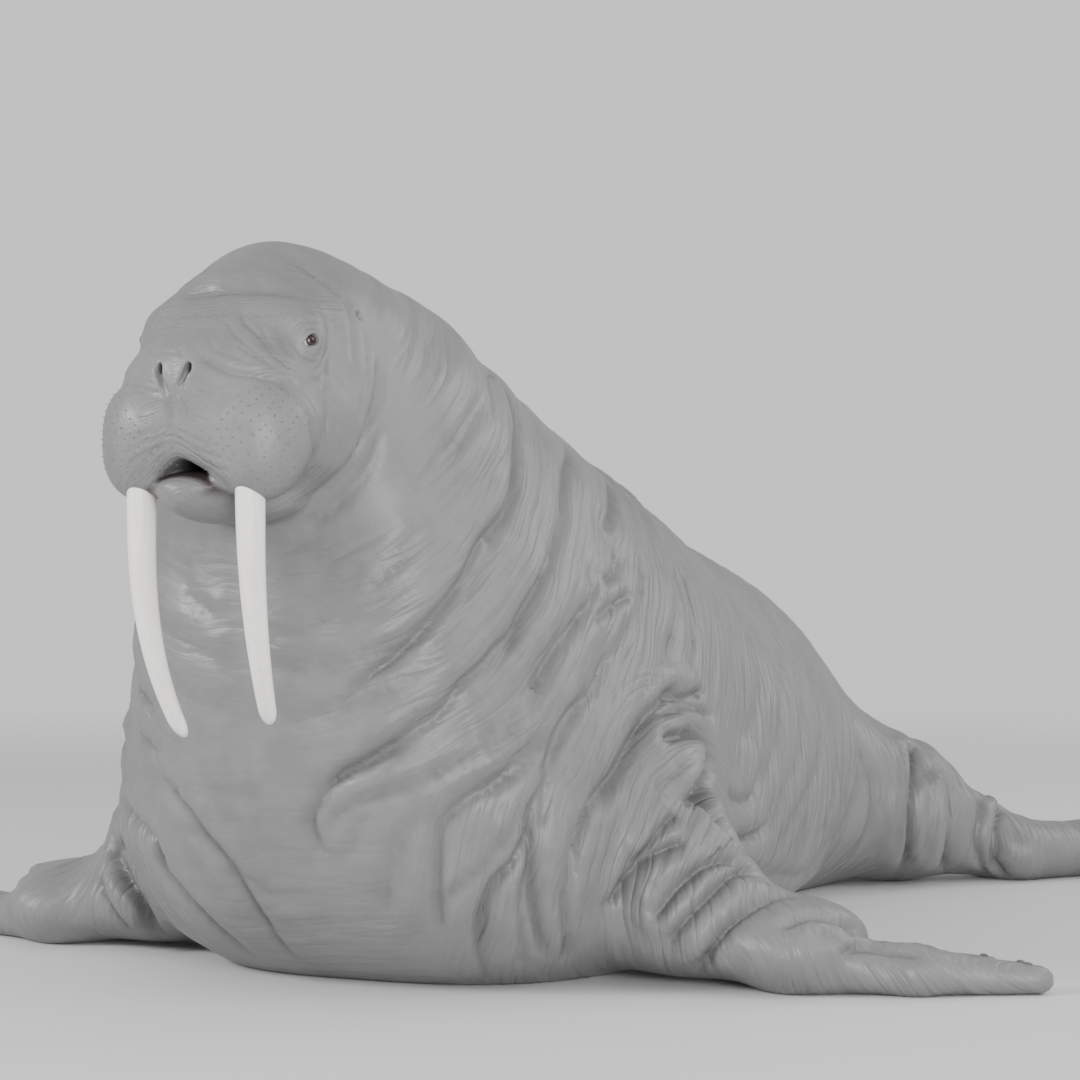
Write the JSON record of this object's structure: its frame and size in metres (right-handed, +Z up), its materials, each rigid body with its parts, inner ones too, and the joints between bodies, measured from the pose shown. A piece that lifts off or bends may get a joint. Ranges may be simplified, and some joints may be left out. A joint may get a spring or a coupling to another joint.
{
  "type": "walrus",
  "caption": "Life-size bull walrus resting on its belly, head raised, front flippers spread and hind flippers out behind, long tusks pointing down.",
  "frame": {"origin": "on the floor under the chest, midway between the wrists of the front flippers", "axes": "+Z up, the animal faces -Y, its left side is +X"},
  "size_m": [2.3046, 2.8884, 1.2572],
  "materials": {
    "skin": "thick wrinkled hide, satin, short flat hair",
    "ivory": "smooth polished ivory with faint lengthwise grain",
    "eye": "wet, pale sclera round a dark brown iris",
    "claw": "small dull nails"
  },
  "bodies": {
    "root": {"head": "skin", "muzzle_left": "skin", "muzzle_right": "skin", "lower_jaw": "skin", "tusk_left": "ivory", "tusk_right": "ivory", "eye_left": "eye", "eye_right": "eye", "neck": "skin", "chest": "skin", "belly": "skin", "rump": "skin", "tail": "skin", "forearm_left": "skin", "forearm_right": "skin", "fore_flipper_left": "skin", "fore_flipper_right": "skin", "hind_leg_left": "skin", "hind_leg_right": "skin", "hind_flipper_left": "skin", "hind_flipper_right": "skin"}
  },
  "joints": []
}
